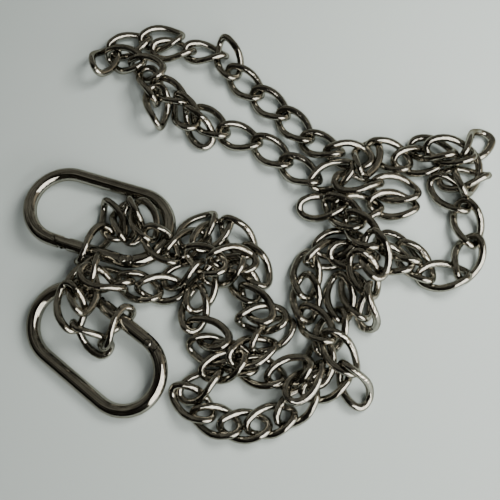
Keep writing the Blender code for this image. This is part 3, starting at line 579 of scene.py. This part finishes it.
def model_link(sizes):
    """One curb link: round wire bent to an oval of four arcs, its ends turned, with a butt seam."""
    half_length = sizes.length / 2 - sizes.wire_radius
    half_width = sizes.width / 2 - sizes.wire_radius
    end = sizes.end_radius
    # The side arcs run smoothly into the end arcs
    side = ((half_length - end) ** 2 + half_width ** 2 - end ** 2) / (2 * (half_width - end))
    side_angle = math.atan2(half_length - end, side - half_width)
    end_angle = math.pi - 2 * side_angle
    seam_angle = sizes.seam_width / end
    before_seam = SEAM_PLACE * end_angle

    thing = wire_section(sizes.wire_sides, sizes.wire_radius, (0, half_width, 0))
    bend_on((0, half_width - side, 0), side_angle, LINK_SIDE_STEPS)
    bend_on((half_length - end, 0, 0), before_seam - seam_angle, STEPS_BEFORE_SEAM)
    for share in (sizes.seam_share, 1 / sizes.seam_share):
        bend_on((half_length - end, 0, 0), seam_angle, 1)
        resize(share)
    bend_on((half_length - end, 0, 0), end_angle - before_seam - seam_angle,
            LINK_END_STEPS - STEPS_BEFORE_SEAM)
    bend_on((0, side - half_width, 0), 2 * side_angle, 2 * LINK_SIDE_STEPS)
    bend_on((end - half_length, 0, 0), end_angle, LINK_END_STEPS)
    bend_on((0, half_width - side, 0), side_angle, LINK_SIDE_STEPS)
    close_up()
    object_mode()

    # The twist runs over the outer length, and its full turn is due at the centreline's ends
    step = thing.modifiers.new("Turn", "SIMPLE_DEFORM")
    step.deform_method = "TWIST"
    step.deform_axis = "X"
    step.angle = 2 * sizes.turn * (sizes.length / 2) / half_length
    bpy.ops.object.modifier_apply(modifier=step.name)
    return thing


class HEAP_OT_links(bpy.types.Operator):
    """Model one link and lay a copy wherever the CAD has one"""
    bl_idname = "heap.links"
    bl_label = "Chain links"

    def execute(self, context):
        sizes, colours = context.scene.heap_chain, context.scene.heap_colours
        finish = plated("nickel_plated_link", colours.chain_light, colours.chain_dark, **LINK_FINISH)
        pattern = model_link(sizes)
        # Links are numbered from the upper ring on, so a node's first is nearer to the link before
        previous = Vector(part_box("upper_ring_gate")[0])
        for node in sorted(name for name in frame["nodes"] if name.startswith("links_")):
            numbers = node.split("_")[1:]
            places = link_places(node, sizes)
            if len(places) != len(numbers):
                raise RuntimeError(f"{node} shows {len(places)} links, not {len(numbers)}")
            places.sort(key=lambda place: (Vector(place[:3, 3]) - previous).length)
            for number, place in zip(numbers, places):
                make_active(pattern)
                bpy.ops.object.duplicate(linked=False)
                link = context.active_object
                put(link, Matrix(place.tolist()))
                dress(link, f"link_{number}", finish, CHAIN_BODY, [node])
                previous = Vector(place[:3, 3])
        bpy.data.objects.remove(pattern)
        return {"FINISHED"}


# Rings, each modelled flat in its own frame: long axis on X, gate on the +Y side

def ring_axes(sizes):
    """Half the straight length and the bend radius of the ring's centreline, and the rivet."""
    half = (sizes.length - sizes.width) / 2
    bend = sizes.width / 2 - sizes.wire_radius
    rivet = Vector((half + bend * math.sin(sizes.rivet_angle),
                    bend * math.cos(sizes.rivet_angle), 0))
    return half, bend, rivet


def ring_place(name, sizes):
    """Where a ring lies: its rivet falls on the middle of the CAD's, on the gate's hinge axis."""
    stance = (Matrix.Rotation(getattr(sizes, f"{name}_heading"), 4, "Z")
              @ Matrix.Rotation(-getattr(sizes, f"{name}_pitch"), 4, "Y")
              @ Matrix.Rotation(getattr(sizes, f"{name}_lean"), 4, "X"))
    # The upper ring lies with its other face up
    if name == "upper":
        stance = stance @ Matrix.Rotation(math.pi, 4, "X")
    hinge = next(joint for joint in frame["joints"] if joint["name"] == f"{name}_gate_hinge")
    if (stance @ Vector((0, 0, 1)) - Vector(hinge["axis"])).length > AXIS_PLAY:
        raise RuntimeError(f"the {name} ring doesn't lie square to its gate's hinge axis")
    low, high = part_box(f"{name}_ring_rivet")
    rivet = ring_axes(sizes)[2]
    return Matrix.Translation((low + high) / 2 - stance @ rivet) @ stance


def fill_ends():
    """Closes the open ends of a wire and leaves the mesh."""
    bpy.ops.mesh.select_mode(type="EDGE")
    bpy.ops.mesh.select_all(action="DESELECT")
    bpy.ops.mesh.select_non_manifold()
    bpy.ops.mesh.fill_holes(sides=0)
    close_up()
    object_mode()


def nose_tool(sizes, start, end):
    """A block across the wire on the slant of the nose joint, between two distances from it."""
    half, bend, _ = ring_axes(sizes)
    reach = 2 * sizes.wire_radius
    tool = block((start, -reach, -reach), (end, reach, reach))
    put(tool, Matrix.Translation((-half + sizes.nose_shift, bend, 0))
        @ Matrix.Rotation(-sizes.nose_slant, 4, "Z"))
    return tool


def tail_tool(sizes, radius, start):
    """The room that the gate takes up round the rivet, with the bar that leads to it."""
    _, bend, rivet = ring_axes(sizes)
    reach = sizes.wire_radius + FIT_GAP
    tool = round_bar(rivet, radius, -reach, reach)
    combine(tool, block((start, bend - 2 * reach, -reach), (rivet.x, bend + reach, reach)), "UNION")
    return tool


def hinge_tongue(sizes):
    """The flat tongue with a round end that the gate's fork fits over."""
    rivet = ring_axes(sizes)[2]
    half, side = TONGUE_THICKNESS / 2, TONGUE_WIDTH / 2
    tongue = block((0, -side, -half), (sizes.tail_radius + FIT_GAP + TONGUE_ROOT, side, half))
    put(tongue, Matrix.Translation(rivet) @ Matrix.Rotation(-TONGUE_SLOPE, 4, "Z"))
    combine(tongue, round_bar(rivet, side, -half, half), "UNION")
    return tongue


def nose_tongue(sizes):
    """The tongue with a cross bar that the gate's nose closes over."""
    half, bend, _ = ring_axes(sizes)
    thick, side = TONGUE_THICKNESS / 2, TONGUE_WIDTH / 2
    length, width, height = NOSE_BAR
    tip = -half + NOSE_REACH
    tongue = block((-half - NOSE_ROOT, bend - side, -thick), (tip - length / 2, bend + side, thick))
    bar = block((tip - length, bend - width / 2, -height / 2), (tip, bend + width / 2, height / 2))
    combine(tongue, bar, "UNION")
    return tongue


def model_ring_body(sizes):
    """The open ring: thick wire bent round two arcs, with a tongue at the hinge and at the nose."""
    half, bend, rivet = ring_axes(sizes)
    body = wire_section(sizes.wire_sides, sizes.wire_radius, (half, bend, 0))
    bend_on((half, 0, 0), math.pi, RING_BEND_STEPS)
    carry_on((-2 * half, 0, 0))
    bend_on((-half, 0, 0), math.pi, RING_BEND_STEPS)
    carry_on((2 * sizes.wire_radius, 0, 0))
    fill_ends()
    combine(body, nose_tool(sizes, 0, 4 * sizes.wire_radius), "DIFFERENCE")
    combine(body, tail_tool(sizes, sizes.tail_radius + FIT_GAP, 0), "DIFFERENCE")
    soften_edges(body, sizes.edge)
    combine(body, hinge_tongue(sizes), "UNION")
    reach = sizes.wire_radius
    combine(body, round_bar(rivet, PIN_RADIUS + FIT_GAP, -reach, reach), "DIFFERENCE")
    combine(body, nose_tongue(sizes), "UNION")
    return body


def model_gate(sizes):
    """The gate: a round bar with a forked tail and a forked nose, recessed for the rivet's heads."""
    half, bend, rivet = ring_axes(sizes)
    wide = sizes.wire_radius + FIT_GAP
    gate = wire_section(sizes.wire_sides, sizes.wire_radius, (-half, bend, 0))
    carry_on((2 * half, 0, 0))
    bend_on((half, 0, 0), GATE_BEND, GATE_BEND_STEPS)
    fill_ends()
    combine(gate, nose_tool(sizes, -6 * sizes.wire_radius, FIT_GAP), "DIFFERENCE")
    combine(gate, tail_tool(sizes, sizes.tail_radius, -half - wide), "INTERSECT")
    recess = sizes.head_radius + FIT_GAP
    for low, high in ((RECESS_DEPTH, wide), (-wide, -RECESS_DEPTH)):
        combine(gate, round_bar(rivet, recess, low, high), "DIFFERENCE")
    soften_edges(gate, sizes.edge)

    # The slot for the hinge tongue, and the pin's hole through the fork
    thick = TONGUE_THICKNESS / 2 + FIT_GAP
    low, high = bend - 2 * wide, bend + wide
    slot_start = rivet.x - TONGUE_WIDTH / 2 - 2 * FIT_GAP
    combine(gate, block((slot_start, low, -thick), (rivet.x + 2 * wide, high, thick)), "DIFFERENCE")
    combine(gate, round_bar(rivet, PIN_RADIUS + FIT_GAP, -wide, wide), "DIFFERENCE")
    # The pocket for the nose tongue, and the wider one for the bar across it
    pocket_end = -half + NOSE_REACH + NOSE_PLAY
    combine(gate, block((-half - wide, low, -thick), (pocket_end, high, thick)), "DIFFERENCE")
    thick = NOSE_BAR[2] / 2 + FIT_GAP
    pocket_start = -half + NOSE_REACH - NOSE_BAR[0] - NOSE_PLAY
    combine(gate, block((pocket_start, low, -thick), (pocket_end, high, thick)), "DIFFERENCE")
    return gate


def model_rivet(sizes):
    """The rivet: a pin with a low domed head at each end."""
    rivet = ring_axes(sizes)[2]
    under = RECESS_DEPTH + FIT_GAP
    thing = round_section(ROUND_SIDES, PIN_RADIUS, rivet - Vector((0, 0, under)), fill="NGON")
    carry_on((0, 0, 2 * under))
    object_mode()
    for side in (-1, 1):
        combine(thing, model_head(sizes, rivet, side * under, side), "UNION")
    return thing


def model_head(sizes, rivet, under, side):
    """One domed head, raised ring by ring from its rim; side tells which way it faces."""
    head = round_section(ROUND_SIDES, sizes.head_radius, (rivet.x, rivet.y, under), fill="NGON")
    rim = sizes.head_height * HEAD_RIM
    dome = sizes.head_height - rim
    carry_on((0, 0, side * rim))
    before = 0.0
    for step in range(1, HEAD_STEPS + 1):
        angle = math.pi / 2 * step / (HEAD_STEPS + 1)
        rise = dome * (math.sin(angle) - math.sin(before))
        carry_on((0, 0, side * rise))
        resize(math.cos(angle) / math.cos(before))
        before = angle
    close_up()
    object_mode()
    return head


class HEAP_OT_ring_bodies(bpy.types.Operator):
    """Model the open body of each snap ring"""
    bl_idname = "heap.ring_bodies"
    bl_label = "Ring bodies"

    def execute(self, context):
        sizes, colours = context.scene.heap_rings, context.scene.heap_colours
        finish = plated("nickel_plated_ring", colours.ring_light, colours.ring_dark, **RING_FINISH)
        lay_on_rings(model_ring_body(sizes), "body", finish, sizes)
        return {"FINISHED"}


class HEAP_OT_gates(bpy.types.Operator):
    """Model the gate of each snap ring"""
    bl_idname = "heap.gates"
    bl_label = "Gates"

    def execute(self, context):
        sizes, colours = context.scene.heap_rings, context.scene.heap_colours
        finish = plated("nickel_plated_gate", colours.ring_light, colours.ring_dark, **GATE_FINISH)
        lay_on_rings(model_gate(sizes), "gate", finish, sizes)
        return {"FINISHED"}


class HEAP_OT_rivets(bpy.types.Operator):
    """Model the rivet of each snap ring"""
    bl_idname = "heap.rivets"
    bl_label = "Rivets"

    def execute(self, context):
        sizes, colours = context.scene.heap_rings, context.scene.heap_colours
        finish = plated("bright_rivet", colours.ring_light, colours.ring_dark, **RIVET_FINISH)
        lay_on_rings(model_rivet(sizes), "rivet", finish, sizes)
        return {"FINISHED"}


def lay_on_rings(pattern, part, finish, sizes):
    """Lays a copy of a ring's part on each ring, in the place of the CAD's, and drops the pattern."""
    for name in RING_NAMES:
        make_active(pattern)
        bpy.ops.object.duplicate(linked=False)
        piece = bpy.context.active_object
        put(piece, ring_place(name, sizes))
        node = f"{name}_ring_{part}"
        body = f"{name}_gate" if part == "gate" else CHAIN_BODY
        dress(piece, f"{name}_snap_{part}", finish, body, [node])
    bpy.data.objects.remove(pattern)


# Stage

class HEAP_OT_stage(bpy.types.Operator):
    """Lay the floor and set up the lights and the camera"""
    bl_idname = "heap.stage"
    bl_label = "Stage"

    def execute(self, context):
        stage = context.scene.heap_stage
        deselect_all()
        bpy.ops.mesh.primitive_plane_add(size=FLOOR_SIZE, location=(0, 0, 0))
        floor = context.active_object
        floor.name = "floor"
        floor.data.materials.append(self.floor_finish(stage))
        context.scene.world = self.surroundings(stage)
        for number, offset in enumerate(PANE_OFFSETS):
            self.light(f"window_pane_{number + 1}", PANE_SIZE, stage.window_power,
                       stage.window_heading, stage.window_height, stage.window_distance, offset)
        lamp = self.light("lamp", LAMP_SIZE, stage.lamp_power, stage.lamp_heading,
                          stage.lamp_height, stage.lamp_distance, 0)
        # The metal shows the window alone
        lamp.visible_glossy = False
        self.camera(context, stage)
        return {"FINISHED"}

    def floor_finish(self, stage):
        """A plain floor that the eye sees fade into the backdrop far from the heap."""
        finish = bpy.data.materials.new("plain_floor")
        finish.use_nodes = True
        nodes, links = finish.node_tree.nodes, finish.node_tree.links
        shader = nodes["Principled BSDF"]
        shader.inputs["Base Color"].default_value = stage.floor_colour
        shader.inputs["Roughness"].default_value = FLOOR_ROUGHNESS
        shader.inputs["Specular IOR Level"].default_value = FLOOR_SHINE
        place = nodes.new("ShaderNodeTexCoord")
        away = nodes.new("ShaderNodeVectorMath")
        away.operation = "LENGTH"
        links.new(place.outputs["Object"], away.inputs[0])
        far = spread(nodes, links, away.outputs["Value"], FLOOR_FADE, ease="SMOOTHSTEP")
        path = nodes.new("ShaderNodeLightPath")
        share = nodes.new("ShaderNodeMath")
        share.operation = "MULTIPLY"
        links.new(far, share.inputs[0])
        links.new(path.outputs["Is Camera Ray"], share.inputs[1])
        backdrop = nodes.new("ShaderNodeEmission")
        backdrop.inputs["Color"].default_value = stage.backdrop_colour
        both = nodes.new("ShaderNodeMixShader")
        links.new(share.outputs["Value"], both.inputs["Fac"])
        links.new(shader.outputs["BSDF"], both.inputs[1])
        links.new(backdrop.outputs["Emission"], both.inputs[2])
        links.new(both.outputs["Shader"], nodes["Material Output"].inputs["Surface"])
        return finish

    def surroundings(self, stage):
        """A pale room for the eye and for soft light, and a darker one for the metal to mirror."""
        world = bpy.data.worlds.new("surroundings")
        world.use_nodes = True
        nodes, links = world.node_tree.nodes, world.node_tree.links
        mirrored = nodes["Background"]
        links.new(self.mirrored_room(nodes, links, stage), mirrored.inputs["Color"])
        seen = nodes.new("ShaderNodeBackground")
        seen.inputs["Color"].default_value = stage.backdrop_colour
        soft = nodes.new("ShaderNodeBackground")
        soft.inputs["Color"].default_value = (1, 1, 1, 1)
        soft.inputs["Strength"].default_value = stage.room_light
        path = nodes.new("ShaderNodeLightPath")
        light = soft.outputs["Background"]
        for ray, room in (("Is Glossy Ray", mirrored), ("Is Camera Ray", seen)):
            choice = nodes.new("ShaderNodeMixShader")
            links.new(path.outputs[ray], choice.inputs["Fac"])
            links.new(light, choice.inputs[1])
            links.new(room.outputs["Background"], choice.inputs[2])
            light = choice.outputs["Shader"]
        links.new(light, nodes["World Output"].inputs["Surface"])
        return world

    def mirrored_room(self, nodes, links, stage):
        """Colours from the dark side over the ceiling to the pale wall, with the lit wall on top."""
        walls = nodes.new("ShaderNodeValToRGB")
        walls.color_ramp.elements[0].color = stage.dark_wall
        walls.color_ramp.elements[1].color = stage.pale_wall
        walls.color_ramp.elements.new(CEILING_PLACE).color = stage.ceiling
        broken = nodes.new("ShaderNodeMath")
        links.new(self.facing(nodes, links, PALE_WALL_SIDE, PALE_WALL_SPAN), broken.inputs[0])
        links.new(self.clutter(nodes, links), broken.inputs[1])
        links.new(broken.outputs["Value"], walls.inputs["Fac"])
        colour = nodes.new("ShaderNodeMix")
        colour.data_type = "RGBA"
        links.new(self.facing(nodes, links, LIT_WALL_SIDE, LIT_WALL_SPAN), colour.inputs["Factor"])
        links.new(walls.outputs["Color"], colour.inputs["A"])
        colour.inputs["B"].default_value = stage.lit_wall
        return colour.outputs["Result"]

    def facing(self, nodes, links, side, span):
        """How far a direction faces one side of the room, as a share between two limits."""
        place = nodes.new("ShaderNodeTexCoord")
        along = nodes.new("ShaderNodeVectorMath")
        along.operation = "DOT_PRODUCT"
        along.inputs[1].default_value = Vector(side).normalized()
        links.new(place.outputs["Generated"], along.inputs[0])
        return spread(nodes, links, along.outputs["Value"], span, ease="SMOOTHSTEP")

    def clutter(self, nodes, links):
        """Dim shapes in the room that break up what the metal mirrors, longer than they are high."""
        place = nodes.new("ShaderNodeTexCoord")
        flat = nodes.new("ShaderNodeMapping")
        flat.inputs["Scale"].default_value = CLUTTER_STRETCH
        links.new(place.outputs["Generated"], flat.inputs["Vector"])
        shapes = noise(nodes, links, flat.outputs["Vector"], CLUTTER)
        return spread(nodes, links, shapes, CLUTTER_SPAN, CLUTTER_REACH)

    def light(self, name, size, power, heading, height, distance, offset):
        """One soft light facing the heap, moved up or down in its own plane by an offset."""
        towards = Vector((math.cos(height) * math.cos(heading),
                          math.cos(height) * math.sin(heading), math.sin(height)))
        glow = bpy.data.lights.new(name, "AREA")
        glow.shape = "RECTANGLE"
        glow.size, glow.size_y = size
        glow.energy = power
        glow.color = LIGHT_COLOUR
        thing = bpy.data.objects.new(name, glow)
        bpy.context.collection.objects.link(thing)
        turn = (-towards).to_track_quat("-Z", "Y")
        thing.rotation_euler = turn.to_euler()
        thing.location = towards * distance + turn @ Vector((0, offset, 0))
        return thing

    def camera(self, context, stage):
        """The camera, placed from the lower ring's rivet and turned as the picture was taken."""
        camera = bpy.data.objects.new("camera", bpy.data.cameras.new("camera"))
        context.collection.objects.link(camera)
        camera.data.sensor_width = PICTURE_SENSOR
        camera.data.lens = stage.lens
        camera.data.clip_start = CAMERA_NEAR
        camera.data.dof.use_dof = False
        low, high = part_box("lower_ring_rivet")
        right = Vector(CAMERA_RIGHT).normalized()
        up = Vector(CAMERA_UP)
        up = (up - right * up.dot(right)).normalized()
        turn = Matrix((right, up, right.cross(up))).transposed()
        place = (low + high) / 2 + Vector(CAMERA_FROM_RIVET)
        camera.matrix_world = Matrix.Translation(place) @ turn.to_4x4()
        context.scene.camera = camera


class HEAP_PT_panel(bpy.types.Panel):
    """Lists the pieces of the heap"""
    bl_idname = "HEAP_PT_panel"
    bl_label = "Chain heap"
    bl_space_type = "VIEW_3D"
    bl_region_type = "UI"
    bl_category = "Chain heap"

    def draw(self, context):
        for name in GROUPS:
            group = getattr(context.scene, name)
            part = self.layout.box()
            for key in group.bl_rna.properties.keys():
                if key not in {"rna_type", "name"}:
                    part.prop(group, key)
        for step in STEPS:
            self.layout.operator(step.bl_idname)


GROUPS = {"heap_chain": ChainSizes, "heap_rings": RingSizes,
          "heap_colours": PlateColours, "heap_stage": StageSettings}
STEPS = (HEAP_OT_links, HEAP_OT_ring_bodies, HEAP_OT_gates, HEAP_OT_rivets, HEAP_OT_stage)


def register():
    """Makes the settings, the operators and the panel known to Blender."""
    for group in GROUPS.values():
        bpy.utils.register_class(group)
    for step in STEPS:
        bpy.utils.register_class(step)
    bpy.utils.register_class(HEAP_PT_panel)
    for name, group in GROUPS.items():
        setattr(bpy.types.Scene, name, PointerProperty(type=group))


def unregister():
    """Takes them out again."""
    for name in GROUPS:
        delattr(bpy.types.Scene, name)
    bpy.utils.unregister_class(HEAP_PT_panel)
    for step in reversed(STEPS):
        bpy.utils.unregister_class(step)
    for group in reversed(list(GROUPS.values())):
        bpy.utils.unregister_class(group)


def main():
    """Models the whole heap and its stage."""
    register()
    bpy.ops.heap.links()
    bpy.ops.heap.ring_bodies()
    bpy.ops.heap.gates()
    bpy.ops.heap.rivets()
    bpy.ops.heap.stage()


if __name__ == "__main__":
    main()
